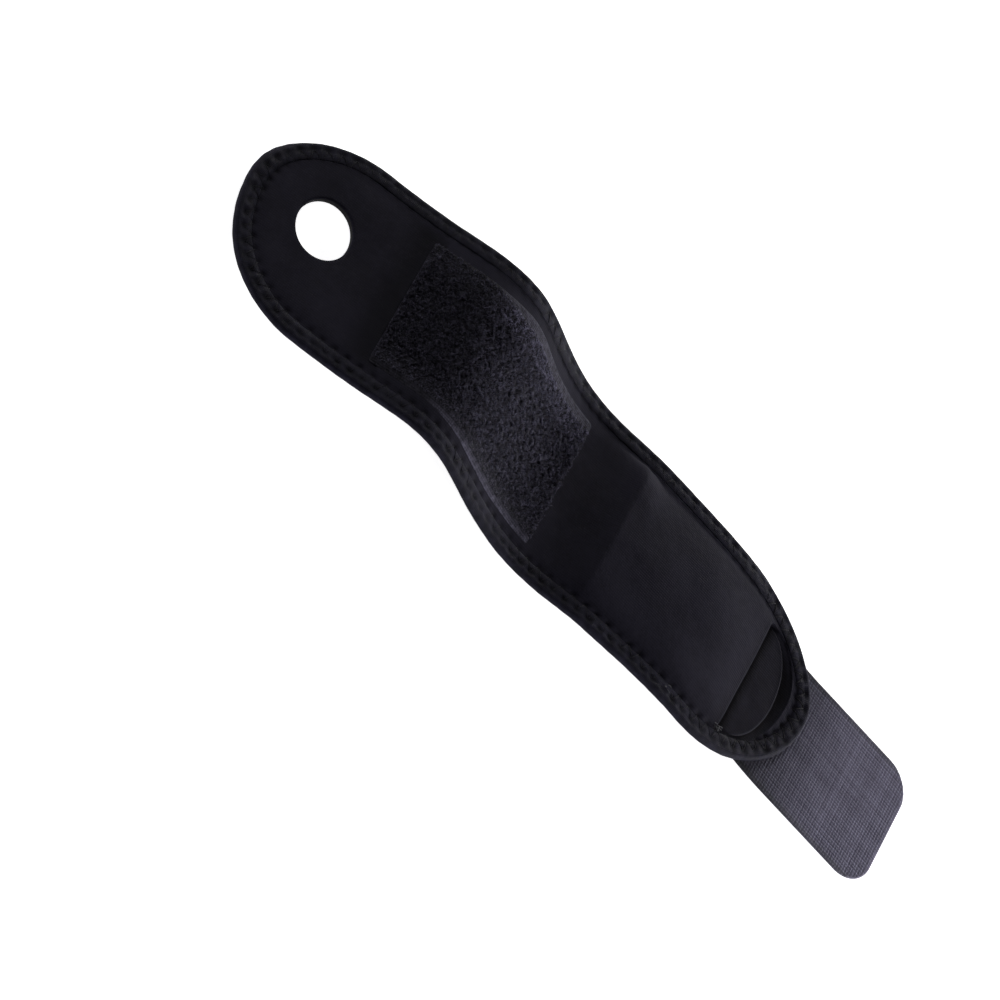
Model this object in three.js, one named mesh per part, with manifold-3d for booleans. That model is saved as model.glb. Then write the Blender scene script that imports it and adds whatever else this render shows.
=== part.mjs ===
// Wrist support: a soft wrap with a thumb hole, lying opened out with its outer face up.
// Millimetres, +Z up. X runs along the strap from the thumb end to the tab end, and Y across it.
// The origin lies on the table, under the middle of the whole strap.

import * as THREE from 'three';
import { mergeVertices } from 'three/addons/utils/BufferGeometryUtils.js';
import Module from 'manifold-3d';

const wasm = await Module();
wasm.setup();

// Flat pattern: lengths along the strap from the thumb tip, widths across it
const STRAP_LENGTH = 300;
const STRAP_WIDTH = 75;
const BODY_LENGTH = 256;
const TAB_END_WIDTH = 67;
const TAPER_START = 110;
const TAPER_END = 232;
const ROUND_END_TIP = 5;
const TAB_END_ROUND = 44;
const THUMB_HOLE = { along: 29, across: 4, length: 19.4, width: 23.2 };
const LOOP_PATCH = { start: 60.5, end: 141.4, width: 54.4, across: -0.7 };
const CROSS_SEAM = 227.4;
const END_PAD = { end: 242.4, width: 44 };
const RECESS = { end: 246.6, width: 47 };
const HOOK_TAB = { start: 226, width: 48.6, rootAcross: 1.4, endAcross: -0.9 };

// Thicknesses of the layers, with heights counted from the middle of the neoprene wall
const GAP = 0.3;
const WALL = 2.8;
const PINCHED_WALL = 1.4;
const TAPE = 0.5;
const BINDING_WIDTH = 6;
const PINCH_END = 10;
const PATCH_THICKNESS = 1.8;
const RECESS_FLOOR = -0.2;
const PAD_THICKNESS = 1.2;
const TAB_THICKNESS = 2;

const WALL_TOP = WALL / 2;
const EDGE_TOP = PINCHED_WALL / 2;
const BINDING_TOP = EDGE_TOP + GAP + TAPE;
const TAB_TOP = -BINDING_TOP - GAP;
const TAB_BOTTOM = TAB_TOP - TAB_THICKNESS;

// Corner sizes and facet steps
const SMALL_CORNER = { along: 1.5, across: 1.5, steps: 3 };
const TAB_CORNER = { along: 11, across: 11, steps: 6 };
const SHOULDER = 0.7;
const ROUND_STEPS = 11;
const HOLE_STEPS = 8;
const FOLD_STEPS = 4;
const SIDE_STEP = 5;
const BEND_STEP = 0.5;
const CUTTER_REACH = 6;
const FALL_SCALES = [0.5, 1.5];
const SCALE_HALVINGS = 40;

// Folds of the strap as it lies: slope in degrees at stations along it, straight in between
const FOLDS = [
  { along: 0, slope: 0 },
  { along: 5, slope: 0 },
  { along: 11, slope: 15.5 },
  { along: 40, slope: 11 },
  { along: 58, slope: 15.4 },
  { along: 71, slope: 18.6 },
  { along: 79, slope: 15 },
  { along: 102, slope: -19.5 },
  { along: 113, slope: -24 },
  { along: 126, slope: -18 },
  { along: 146, slope: 0.5 },
  { along: 156, slope: 8 },
  { along: 163, slope: 8.2 },
  { along: 173, slope: 1.6 },
  { along: 196, slope: 0 },
  { along: 216, slope: -8.6 },
  { along: 237, slope: -7.2 },
  { along: 256, slope: 0 },
  { along: STRAP_LENGTH, slope: 0 },
];

// Slight twist at the fold: at the edges the strap lies this much higher on the far side, lower on the near one
const TWIST = { along: 104, reach: 12, rise: 1 };

// Slope in radians, with every falling fold scaled by the same factor
function slopeAt(along, fallScale) {
  const next = Math.max(1, FOLDS.findIndex((fold) => fold.along >= along));
  const [a, b] = [FOLDS[next - 1], FOLDS[next]];
  const share = (along - a.along) / (b.along - a.along);
  const slope = THREE.MathUtils.lerp(a.slope, b.slope, share);
  return THREE.MathUtils.degToRad(slope < 0 ? slope * fallScale : slope);
}

// Middle line of the neoprene wall in the X-Z plane, one station every BEND_STEP
function middleLine(fallScale) {
  const stations = [];
  let x = 0;
  let z = 0;
  for (let along = 0; along <= STRAP_LENGTH; along += BEND_STEP) {
    stations.push({ x, z, slope: slopeAt(along, fallScale) });
    const slope = slopeAt(Math.min(along + BEND_STEP / 2, STRAP_LENGTH), fallScale);
    x += BEND_STEP * Math.cos(slope);
    z += BEND_STEP * Math.sin(slope);
  }
  return stations;
}

// The falls are scaled so that the thumb end's binding and the tab's underside meet one table top
function restingLine() {
  const tabRise = -BINDING_TOP - TAB_BOTTOM;
  let [low, high] = FALL_SCALES;
  for (let round = 0; round < SCALE_HALVINGS; round += 1) {
    const middle = (low + high) / 2;
    const rise = middleLine(middle).at(-1).z;
    if (rise > tabRise) low = middle;
    else high = middle;
  }
  return middleLine(low);
}

const line = restingLine();

// Place of a point of the flat pattern once the strap is bent
function bend(along, across, height) {
  const place = THREE.MathUtils.clamp(along / BEND_STEP, 0, line.length - 1);
  const index = Math.min(Math.floor(place), line.length - 2);
  const [a, b] = [line[index], line[index + 1]];
  const share = place - index;
  const slope = THREE.MathUtils.lerp(a.slope, b.slope, share);
  const nearTwist = Math.exp(-0.5 * ((along - TWIST.along) / TWIST.reach) ** 2);
  const lift = (TWIST.rise * nearTwist * across) / (STRAP_WIDTH / 2);
  return new THREE.Vector3(
    THREE.MathUtils.lerp(a.x, b.x, share) - height * Math.sin(slope),
    across,
    THREE.MathUtils.lerp(a.z, b.z, share) + height * Math.cos(slope) + lift,
  );
}

// Quarter ellipse from the tip of an end to one of its sides, seen from the centre of the strap.
// A tip shift moves the tip of a round end across, so that one side of it is fuller.
function quarter(tip, direction, side, half, { along, across, steps, tipShift = 0 }) {
  const reach = across - side * tipShift;
  const straight = half - reach;
  const points = across < half ? [{ s: tip, y: 0, inS: direction, inY: 0 }] : [];
  for (let step = 0; step <= steps; step += 1) {
    const angle = (step / steps) * (Math.PI / 2);
    const [cos, sin] = [Math.cos(angle), Math.sin(angle)];
    const inward = new THREE.Vector2((direction * cos) / along, (-side * sin) / reach).normalize();
    points.push({
      s: tip + direction * along * (1 - cos),
      y: side * (straight + reach * sin),
      inS: inward.x,
      inY: inward.y,
    });
  }
  return points;
}

// Closed outline in the flat pattern, anticlockwise, each point with its inward normal and its mate
// on the other side. A corner as wide as half the piece makes a round end.
function outline({ start, end, halfWidth, startCorner, endCorner, centre = () => 0 }) {
  const [from, to] = [start + startCorner.along, end - endCorner.along];
  const steps = Math.ceil((to - from) / SIDE_STEP);
  const oneSide = (side) => {
    const points = quarter(start, 1, side, halfWidth(from), startCorner);
    for (let step = 1; step < steps; step += 1) {
      const s = THREE.MathUtils.lerp(from, to, step / steps);
      points.push({ s, y: side * halfWidth(s), inS: 0, inY: -side });
    }
    points.push(...quarter(end, -1, side, halfWidth(to), endCorner).reverse());
    return points.map((point) => ({ ...point, centre: centre(point.s) }));
  };
  const near = oneSide(-1);
  const far = oneSide(1);
  near.forEach((point, index) => {
    point.mate = far[index];
    far[index].mate = point;
  });
  return [...near, ...far.slice(1, -1).reverse()];
}

// One closed body: merged corners, no triangle without area
function closed(geometry) {
  geometry.deleteAttribute('normal');
  geometry.deleteAttribute('uv');
  const merged = mergeVertices(geometry);
  const corners = Array.from(merged.index.array);
  const kept = [];
  for (let first = 0; first < corners.length; first += 3) {
    const [a, b, c] = corners.slice(first, first + 3);
    if (a !== b && b !== c && c !== a) kept.push(a, b, c);
  }
  merged.setIndex(kept);
  merged.computeVertexNormals();
  return merged;
}

// A lathe profile led round an outline instead of a circle, then bent with the strap.
// Profile points hold the inset from the outline and the height; an open profile ends on the centre line.
function sweep(path, profile, { open = false } = {}) {
  const points = profile.map(([inset, height]) => new THREE.Vector2(inset, height));
  const geometry = new THREE.LatheGeometry(points, path.length);
  const position = geometry.getAttribute('position');
  const inside = ({ s, y, inS, inY, centre }, inset) =>
    new THREE.Vector2(s + inset * inS, centre + y + inset * inY);
  for (let turn = 0; turn <= path.length; turn += 1) {
    const point = path[turn % path.length];
    profile.forEach(([inset, height], index) => {
      const onCentre = open && (index === 0 || index === profile.length - 1);
      const flat = inside(point, inset);
      if (onCentre) flat.add(inside(point.mate, inset)).divideScalar(2);
      const { x, y, z } = bend(flat.x, flat.y, height);
      position.setXYZ(turn * profile.length + index, x, y, z);
    });
  }
  return closed(geometry);
}

// Solid plate from rings that hold inset, bottom and top, from the rim inwards
function plate(path, rings) {
  const inner = rings.at(-1);
  const under = [inner, ...rings.slice().reverse()].map(({ inset, bottom }) => [inset, bottom]);
  const over = [...rings, inner].map(({ inset, top }) => [inset, top]);
  return sweep(path, [...under, ...over], { open: true });
}

function toSolid(geometry) {
  const mesh = new wasm.Mesh({
    numProp: 3,
    vertProperties: new Float32Array(geometry.getAttribute('position').array),
    triVerts: new Uint32Array(geometry.index.array),
  });
  return new wasm.Manifold(mesh);
}

function cut(geometry, ...cutters) {
  const solid = cutters.reduce((rest, cutter) => rest.subtract(toSolid(cutter)), toSolid(geometry));
  const mesh = solid.getMesh();
  const result = new THREE.BufferGeometry();
  result.setAttribute('position', new THREE.BufferAttribute(mesh.vertProperties, mesh.numProp));
  result.setIndex(new THREE.BufferAttribute(mesh.triVerts, 1));
  result.computeVertexNormals();
  return result;
}

// Outline of the whole strap without its tab
function strapHalfWidth(along) {
  const share = THREE.MathUtils.smoothstep(along, TAPER_START, TAPER_END);
  return THREE.MathUtils.lerp(STRAP_WIDTH, TAB_END_WIDTH, share) / 2;
}

function roundEnd(along, half) {
  return { along, across: half, steps: ROUND_STEPS, tipShift: ROUND_END_TIP };
}

const strapOutline = outline({
  start: 0,
  end: BODY_LENGTH,
  halfWidth: strapHalfWidth,
  startCorner: roundEnd(STRAP_WIDTH / 2, STRAP_WIDTH / 2),
  endCorner: roundEnd(TAB_END_ROUND, strapHalfWidth(BODY_LENGTH - TAB_END_ROUND)),
});

// Facing with a straight edge at the cross seam and a half-ellipse beyond it
function endOutline(start, end, width, tipShift) {
  const along = end - start - SMALL_CORNER.along - GAP;
  return outline({
    start,
    end,
    halfWidth: () => width / 2,
    startCorner: SMALL_CORNER,
    endCorner: { along, across: width / 2, steps: ROUND_STEPS, tipShift },
  });
}

function thumbHoleCutter() {
  const { along, across, length, width } = THUMB_HOLE;
  const round = { along: length / 2, across: width / 2, steps: HOLE_STEPS };
  const oval = outline({
    start: along - length / 2,
    end: along + length / 2,
    halfWidth: () => width / 2,
    startCorner: round,
    endCorner: round,
    centre: () => across,
  });
  return plate(oval, [{ inset: 0, bottom: -CUTTER_REACH, top: CUTTER_REACH }]);
}

function body() {
  const wall = plate(strapOutline, [
    { inset: BINDING_TOP, bottom: -EDGE_TOP, top: EDGE_TOP },
    { inset: BINDING_WIDTH + GAP, bottom: -EDGE_TOP, top: EDGE_TOP },
    { inset: PINCH_END, bottom: -WALL_TOP, top: WALL_TOP },
  ]);
  const recess = plate(endOutline(CROSS_SEAM, RECESS.end, RECESS.width, ROUND_END_TIP), [
    { inset: 0, bottom: RECESS_FLOOR, top: CUTTER_REACH },
    { inset: SHOULDER, bottom: RECESS_FLOOR, top: CUTTER_REACH },
  ]);
  return cut(wall, thumbHoleCutter(), recess);
}

// Folded tape: a U round the pinched edge, its outer and inner faces on one fold centre
function edgeBinding() {
  const fold = (radius, direction) => Array.from({ length: FOLD_STEPS + 1 }, (_, step) => {
    const angle = direction * (step / FOLD_STEPS - 0.5) * Math.PI;
    return [BINDING_TOP - radius * Math.cos(angle), radius * Math.sin(angle)];
  });
  const inside = BINDING_TOP - TAPE;
  const section = [
    [BINDING_WIDTH, -BINDING_TOP],
    ...fold(BINDING_TOP, 1),
    [BINDING_WIDTH, BINDING_TOP],
    [BINDING_WIDTH, inside],
    ...fold(inside, -1),
    [BINDING_WIDTH, -inside],
    [BINDING_WIDTH, -BINDING_TOP],
  ];
  return sweep(strapOutline, section);
}

function loopPatch() {
  const { start, end, width, across } = LOOP_PATCH;
  const bottom = WALL_TOP + GAP;
  const top = bottom + PATCH_THICKNESS;
  const path = outline({
    start,
    end,
    halfWidth: () => width / 2,
    startCorner: SMALL_CORNER,
    endCorner: SMALL_CORNER,
    centre: () => across,
  });
  return plate(path, [
    { inset: 0, bottom, top: top - SHOULDER },
    { inset: SHOULDER, bottom, top },
  ]);
}

function endPad() {
  const bottom = RECESS_FLOOR + GAP;
  const top = bottom + PAD_THICKNESS;
  return plate(endOutline(CROSS_SEAM + GAP, END_PAD.end, END_PAD.width, 0), [
    { inset: 0, bottom, top: top - SHOULDER },
    { inset: SHOULDER, bottom, top },
  ]);
}

function hookTab() {
  const { start, width, rootAcross, endAcross } = HOOK_TAB;
  const path = outline({
    start,
    end: STRAP_LENGTH,
    halfWidth: () => width / 2,
    startCorner: SMALL_CORNER,
    endCorner: TAB_CORNER,
    centre: (s) => THREE.MathUtils.mapLinear(s, start, STRAP_LENGTH, rootAcross, endAcross),
  });
  return plate(path, [
    { inset: 0, bottom: TAB_BOTTOM, top: TAB_TOP },
    { inset: SHOULDER, bottom: TAB_BOTTOM, top: TAB_TOP },
  ]);
}

// Colours and finishes
const PIECES = [
  { name: 'body', geometry: body(), color: 0x1c1b20, roughness: 0.8 },
  { name: 'edge_binding', geometry: edgeBinding(), color: 0x1e1d23, roughness: 0.75 },
  { name: 'loop_patch', geometry: loopPatch(), color: 0x1a191e, roughness: 0.95 },
  { name: 'end_pad', geometry: endPad(), color: 0x1b1a20, roughness: 0.8 },
  { name: 'hook_tab', geometry: hookTab(), color: 0x53515e, roughness: 0.85 },
];

const wristSupport = new THREE.Group();
for (const { name, geometry, color, roughness } of PIECES) {
  const mesh = new THREE.Mesh(geometry, new THREE.MeshStandardMaterial({ color, roughness, metalness: 0 }));
  mesh.name = name;
  wristSupport.add(mesh);
}

// The table lies at zero height, under the middle of the strap
const extent = new THREE.Box3().setFromObject(wristSupport);
const middle = extent.getCenter(new THREE.Vector3());
wristSupport.position.set(-middle.x, -middle.y, -extent.min.z);

export default wristSupport;
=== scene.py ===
"""Looks of the wrist support, in metres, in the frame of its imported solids."""

import math

import bpy
import numpy as np
from mathutils import Matrix, Vector
from mathutils.geometry import delaunay_2d_cdt
from mathutils.kdtree import KDTree


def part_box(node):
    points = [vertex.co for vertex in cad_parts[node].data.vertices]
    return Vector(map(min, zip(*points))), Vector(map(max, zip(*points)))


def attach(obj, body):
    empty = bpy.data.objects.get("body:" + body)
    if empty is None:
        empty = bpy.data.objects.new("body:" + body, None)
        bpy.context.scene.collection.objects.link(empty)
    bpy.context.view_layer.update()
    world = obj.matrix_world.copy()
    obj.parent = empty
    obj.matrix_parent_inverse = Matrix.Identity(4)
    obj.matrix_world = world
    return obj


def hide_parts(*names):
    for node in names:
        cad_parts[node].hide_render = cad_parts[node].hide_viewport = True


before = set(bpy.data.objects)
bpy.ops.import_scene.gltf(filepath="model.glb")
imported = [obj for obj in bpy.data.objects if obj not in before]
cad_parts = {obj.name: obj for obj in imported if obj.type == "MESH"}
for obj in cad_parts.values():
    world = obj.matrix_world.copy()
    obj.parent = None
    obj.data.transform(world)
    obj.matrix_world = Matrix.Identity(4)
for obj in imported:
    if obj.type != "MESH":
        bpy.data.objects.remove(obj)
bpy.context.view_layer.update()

MM = 0.001
UV_SPAN = 100.0

# Flat pattern in millimetres: lengths along the strap from the thumb tip, widths across it
STRAP_LENGTH = 300.0
STRAP_WIDTH = 75.0
BODY_LENGTH = 256.0
TAB_END_WIDTH = 67.0
TAPER = (110.0, 232.0)
ROUND_END_TIP = 5.0
TAB_END_ROUND = 44.0
HOLE = {"along": 29.0, "across": 4.0, "length": 19.4, "width": 23.2}
PATCH = {"start": 60.5, "end": 141.4, "width": 54.4, "across": -0.7}
CROSS_SEAM = 227.4
PAD = {"start": 227.7, "end": 242.4, "width": 44.0}
RECESS = {"end": 246.6, "width": 47.0}
TAB = {"start": 226.0, "width": 48.6, "root_across": 1.4, "end_across": -0.9, "corner": 11.0}

# Heights in millimetres from the middle of the neoprene wall
BINDING_TOP = 1.5
PATCH_BASE = 1.4
PATCH_TOP = 3.2
RECESS_FLOOR = 0.0
TAB_TOP = -1.8
TAB_BOTTOM = -3.8

# Stitching of the binding, with insets from the outer edge
STITCH_PITCH = 4.7
STATIONS_PER_STITCH = 10
MIDDLE_INSET = 4.6
OUTER_NEEDLE = 2.7
INNER_NEEDLE = 6.8

# Folds of the strap as it lies: station along it and slope in degrees
FOLDS = np.array([
    (0, 0), (5, 0), (11, 15.5), (40, 11), (58, 15.4), (71, 18.6), (79, 15), (102, -19.5),
    (113, -24), (126, -18), (146, 0.5), (156, 8), (163, 8.2), (173, 1.6), (196, 0),
    (216, -8.6), (237, -7.2), (256, 0), (300, 0),
], dtype=float)
BEND_STEP = 0.5
FALL_SCALES = (0.5, 1.5)
HALVINGS = 40
TWIST = {"along": 104.0, "reach": 12.0, "rise": 1.0}
TAB_RISE = -BINDING_TOP - TAB_BOTTOM

rng = np.random.default_rng(20)


def slope_at(along, fall_scale):
    degrees = np.interp(along, FOLDS[:, 0], FOLDS[:, 1])
    return np.radians(np.where(degrees < 0, degrees * fall_scale, degrees))


# Middle line of the neoprene wall: stations, their places along X and Z, and their slopes
def middle_line(fall_scale):
    stations = np.arange(0, STRAP_LENGTH + BEND_STEP / 2, BEND_STEP)
    between = slope_at(stations[:-1] + BEND_STEP / 2, fall_scale)
    x = np.concatenate([[0], np.cumsum(BEND_STEP * np.cos(between))])
    z = np.concatenate([[0], np.cumsum(BEND_STEP * np.sin(between))])
    return stations, x, z, slope_at(stations, fall_scale)


# Middle line whose falls are scaled so that the tab rests on its hooks
def resting_line():
    low, high = FALL_SCALES
    for _ in range(HALVINGS):
        middle = (low + high) / 2
        rise = middle_line(middle)[2][-1]
        low, high = (middle, high) if rise > TAB_RISE else (low, middle)
    return middle_line(low)


LINE = resting_line()
START_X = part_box("edge_binding")[0].x


# Places in metres of flat-pattern points (along, across, height) once the strap is bent
def bend(points):
    stations, line_x, line_z, line_slope = LINE
    along, across, height = points.T
    slope = np.interp(along, stations, line_slope)
    x = np.interp(along, stations, line_x) - height * np.sin(slope)
    z = np.interp(along, stations, line_z) + height * np.cos(slope)
    z += TWIST["rise"] * bell(along - TWIST["along"], TWIST["reach"]) * across / (STRAP_WIDTH / 2)
    return np.column_stack([START_X + x * MM, across * MM, (z + BINDING_TOP) * MM])


def smoothstep(low, high, value):
    share = np.clip((value - low) / (high - low), 0, 1)
    return share * share * (3 - 2 * share)


def bell(value, width):
    return np.exp(-0.5 * (value / width) ** 2)


# Smooth seeded unevenness between about -1 and 1, from a few waves in random directions
WAVE_SPREAD = (0.7, 1.5)


def ripple(along, across, wavelength, waves=7):
    total = np.zeros_like(along)
    for _ in range(waves):
        angle, phase = rng.uniform(0, 2 * math.pi, 2)
        turn = 2 * math.pi / (wavelength * rng.uniform(*WAVE_SPREAD))
        total += np.cos(turn * (along * math.cos(angle) + across * math.sin(angle)) + phase)
    return total / math.sqrt(waves)


# Closed curves in the flat pattern, anticlockwise
def quarter(tip, direction, side, half, along, across, tip_shift=0.0, steps=60):
    reach = across - side * tip_shift
    angle = np.linspace(0, math.pi / 2, steps)
    s = tip + direction * along * (1 - np.cos(angle))
    y = side * (half - reach + reach * np.sin(angle))
    return np.column_stack([s, y])


def strap_half_width(along):
    share = smoothstep(*TAPER, along)
    return (STRAP_WIDTH + (TAB_END_WIDTH - STRAP_WIDTH) * share) / 2


def join_sides(one_side):
    near, far = one_side(-1), one_side(1)
    return np.vstack([near, far[::-1]])


def strap_outline():
    straight = np.linspace(STRAP_WIDTH / 2, BODY_LENGTH - TAB_END_ROUND, 240)
    end_half = float(strap_half_width(straight[-1]))

    def one_side(side):
        thumb = quarter(0, 1, side, STRAP_WIDTH / 2, STRAP_WIDTH / 2, STRAP_WIDTH / 2, ROUND_END_TIP)
        tab = quarter(BODY_LENGTH, -1, side, end_half, TAB_END_ROUND, end_half, ROUND_END_TIP)
        edge = np.column_stack([straight, side * strap_half_width(straight)])
        return np.vstack([thumb, edge[1:-1], tab[::-1]])

    return join_sides(one_side)


def end_outline(start, end, width, tip_shift=0.0, corner=1.5, gap=0.3):
    along = end - start - corner - gap

    def one_side(side):
        root = quarter(start, 1, side, width / 2, corner, corner, steps=6)
        tip = quarter(end, -1, side, width / 2, along, width / 2, tip_shift)
        return np.vstack([root, tip[::-1]])

    return join_sides(one_side)


def plate_outline(start, end, width, start_corner, end_corner):
    def one_side(side):
        first = quarter(start, 1, side, width / 2, start_corner, start_corner, steps=12)
        last = quarter(end, -1, side, width / 2, end_corner, end_corner, steps=24)
        return np.vstack([first, last[::-1]])

    return join_sides(one_side)


def ellipse(along, across, length, width):
    angle = np.linspace(0, 2 * math.pi, 240, endpoint=False)
    return np.column_stack([along + length / 2 * np.cos(angle), across + width / 2 * np.sin(angle)])


def tree_of(points):
    tree = KDTree(len(points))
    for index, (s, y) in enumerate(points):
        tree.insert((s, y, 0), index)
    tree.balance()
    return tree


# Evenly spaced points on a closed curve, with their inward normals
class Loop:
    def __init__(self, points, step=None, count=None):
        steps = np.linalg.norm(np.diff(points, axis=0, append=points[:1]), axis=1)
        points = points[steps > 1e-6]
        ring = np.vstack([points, points[:1]])
        at = np.concatenate([[0], np.cumsum(np.linalg.norm(np.diff(ring, axis=0), axis=1))])
        self.length = at[-1]
        self.count = count or int(round(self.length / step))
        self.step = self.length / self.count
        places = np.arange(self.count) * self.step
        self.points = np.column_stack([np.interp(places, at, ring[:, k]) for k in (0, 1)])
        tangent = np.roll(self.points, -1, 0) - np.roll(self.points, 1, 0)
        self.tangent = tangent / np.linalg.norm(tangent, axis=1)[:, None]
        self.inward = np.column_stack([-self.tangent[:, 1], self.tangent[:, 0]])

    def inset(self, distance):
        return self.points + distance * self.inward

    # Inward distance of each point from the curve, and its place along the curve
    def measure(self, points):
        tree = tree_of(self.points)
        nearest = np.array([tree.find((s, y, 0))[1] for s, y in points])
        away = points - self.points[nearest]
        place = nearest * self.step + (away * self.tangent[nearest]).sum(1)
        return (away * self.inward[nearest]).sum(1), place


def add_object(name, data):
    made = bpy.data.objects.new(name, data)
    bpy.context.scene.collection.objects.link(made)
    return made


# Mesh objects from points and faces, with the flat pattern kept as a UV map
def mesh_object(name, points, faces, flat, materials, face_material=None, sharp=None, dent=None):
    mesh = bpy.data.meshes.new(name)
    sizes = np.concatenate([np.full(len(part), part.shape[1]) for part in faces])
    starts = np.concatenate([[0], np.cumsum(sizes)[:-1]])
    corners = np.concatenate([part.ravel() for part in faces]).astype(np.int32)
    mesh.vertices.add(len(points))
    mesh.vertices.foreach_set("co", points.astype(np.float32).ravel())
    mesh.loops.add(len(corners))
    mesh.loops.foreach_set("vertex_index", corners)
    mesh.polygons.add(len(sizes))
    mesh.polygons.foreach_set("loop_start", starts.astype(np.int32))
    mesh.polygons.foreach_set("use_smooth", np.ones(len(sizes), dtype=bool))
    for material in materials:
        mesh.materials.append(material)
    if face_material is not None:
        mesh.polygons.foreach_set("material_index", face_material.astype(np.int32))
    layer = mesh.uv_layers.new(name="flat")
    layer.uv.foreach_set("vector", (flat[corners] / UV_SPAN).astype(np.float32).ravel())
    # Dent values that the materials darken the colour by: painted shade at needle dents, creases and hollows,
    # and some plain darker tone
    if dent is not None:
        values = mesh.attributes.new("dent", "FLOAT", "POINT").data
        values.foreach_set("value", dent.astype(np.float32))
    mesh.update(calc_edges=True)
    mesh.validate()
    if sharp is not None:
        mesh.set_sharp_from_angle(angle=math.radians(sharp))
    return add_object(name, mesh)


# Triangles over flat loops and free points, kept where the test says
MERGE_DISTANCE = 1e-5
SMALLEST_TURN = 1e-7


def triangulate(loops, free, keep):
    points = np.vstack([*loops, free])
    edges = []
    first = 0
    for loop in loops:
        ids = np.arange(first, first + len(loop))
        edges.extend(zip(ids.tolist(), np.roll(ids, -1).tolist()))
        first += len(loop)
    found = delaunay_2d_cdt([Vector(p) for p in points.tolist()], edges, [], 0, MERGE_DISTANCE)
    flat = np.array([v[:] for v in found[0]])
    triangles = np.array(found[2])
    middle = flat[triangles].mean(1)
    a, b, c = (flat[triangles[:, k]] for k in range(3))
    turn = (b[:, 0] - a[:, 0]) * (c[:, 1] - a[:, 1]) - (b[:, 1] - a[:, 1]) * (c[:, 0] - a[:, 0])
    triangles = np.where((turn > 0)[:, None], triangles, triangles[:, ::-1])
    triangles = triangles[keep(middle) & (np.abs(turn) > SMALLEST_TURN)]
    used, packed = np.unique(triangles, return_inverse=True)
    return flat[used], packed.reshape(-1, 3)


# Points that keep a clearance from other points
def clear_of(points, others, clearance):
    tree = tree_of(others)
    return points[[tree.find((s, y, 0))[2] > clearance for s, y in points]]


# Staggered grid over a box
def grid_points(s_range, y_range, step):
    rows = np.arange(*y_range, step * math.sqrt(3) / 2)
    columns = np.arange(*s_range, step)
    s, y = np.meshgrid(columns, rows)
    s = s + step / 2 * (np.arange(len(rows)) % 2)[:, None]
    return np.column_stack([s.ravel(), y.ravel()])


# Flat mesh inside an outline, from free points or from rings along its edge and a grid
def fill(outline, free):
    return triangulate([outline.points], free, lambda points: outline.measure(points)[0] > 0)


def ringed_mesh(outline, box, insets, step, spacing, clearance):
    rings = [Loop(outline.inset(inset), step=step).points for inset in insets]
    half = box["width"] / 2
    grid = grid_points((box["start"], box["end"]), (-half, half), spacing)
    grid = clear_of(grid, np.vstack([outline.points, *rings]), clearance)
    return fill(outline, np.vstack([*rings, grid]))


# Closed slab between a top and an underside over one triangulation
def slab_faces(triangles, count):
    edges = np.vstack([triangles[:, [0, 1]], triangles[:, [1, 2]], triangles[:, [2, 0]]])
    keys = edges[:, 0] * count + edges[:, 1]
    back = edges[:, 1] * count + edges[:, 0]
    rim = edges[~np.isin(keys, back)]
    walls = np.column_stack([rim[:, 0] + count, rim[:, 1] + count, rim[:, 1], rim[:, 0]])
    return [triangles, triangles[:, ::-1] + count, walls]


SLAB_SHARP = 50


def slab(name, flat, triangles, top, bottom, materials, dent, face_material=None, under_dent=None):
    points = np.vstack([np.column_stack([flat, top]), np.column_stack([flat, bottom])])
    faces = slab_faces(triangles, len(flat))
    marks = None
    if face_material is not None:
        marks = np.concatenate([
            np.broadcast_to(mark, len(part)) for part, mark in zip(faces, face_material)])
    dents = np.concatenate([dent, dent if under_dent is None else under_dent])
    both = np.vstack([flat, flat])
    return mesh_object(name, bend(points), faces, both, materials, marks, SLAB_SHARP, dents)


# Paths in the flat pattern with their heights, and level directions square to those of the paths
def raised(flat, height):
    return np.concatenate([flat, np.broadcast_to(height, flat.shape[:2])[:, :, None]], 2)


def square_to(direction):
    return np.column_stack([-direction[:, 1], direction[:, 0], 0 * direction[:, 0]])


def headings(turn):
    return np.column_stack([np.cos(turn), np.sin(turn)])


# Thin tubes along flat-pattern paths, all with the same number of points
def tubes(name, paths, across, radius, sides, material, dent=None):
    count, rings, _ = paths.shape
    tangent = np.gradient(paths, axis=1)
    tangent /= np.linalg.norm(tangent, axis=2, keepdims=True)
    side = np.repeat(across[:, None, :], rings, 1)
    rise = np.cross(tangent, side)
    angle = np.arange(sides) * 2 * math.pi / sides
    width = np.broadcast_to(radius, (count, rings))[:, :, None, None]
    spread = (np.cos(angle)[None, None, :, None] * side[:, :, None, :]
              + np.sin(angle)[None, None, :, None] * rise[:, :, None, :])
    points = paths[:, :, None, :] + width * spread
    ids = np.arange(count * rings * sides).reshape(count, rings, sides)
    turned = np.roll(ids, -1, 2)
    quads = np.stack([ids[:, :-1], turned[:, :-1], turned[:, 1:], ids[:, 1:]], -1).reshape(-1, 4)
    caps = np.concatenate([ids[:, 0, ::-1], ids[:, -1]])
    flat = np.repeat(paths[:, :, None, :2], sides, 2).reshape(-1, 2)
    dents = None if dent is None else np.repeat(dent, rings * sides)
    return mesh_object(name, bend(points.reshape(-1, 3)), [quads, caps], flat, [material], dent=dents)


# Materials: helpers for node trees
NOISE_ROUGHNESS = 0.55


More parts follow.
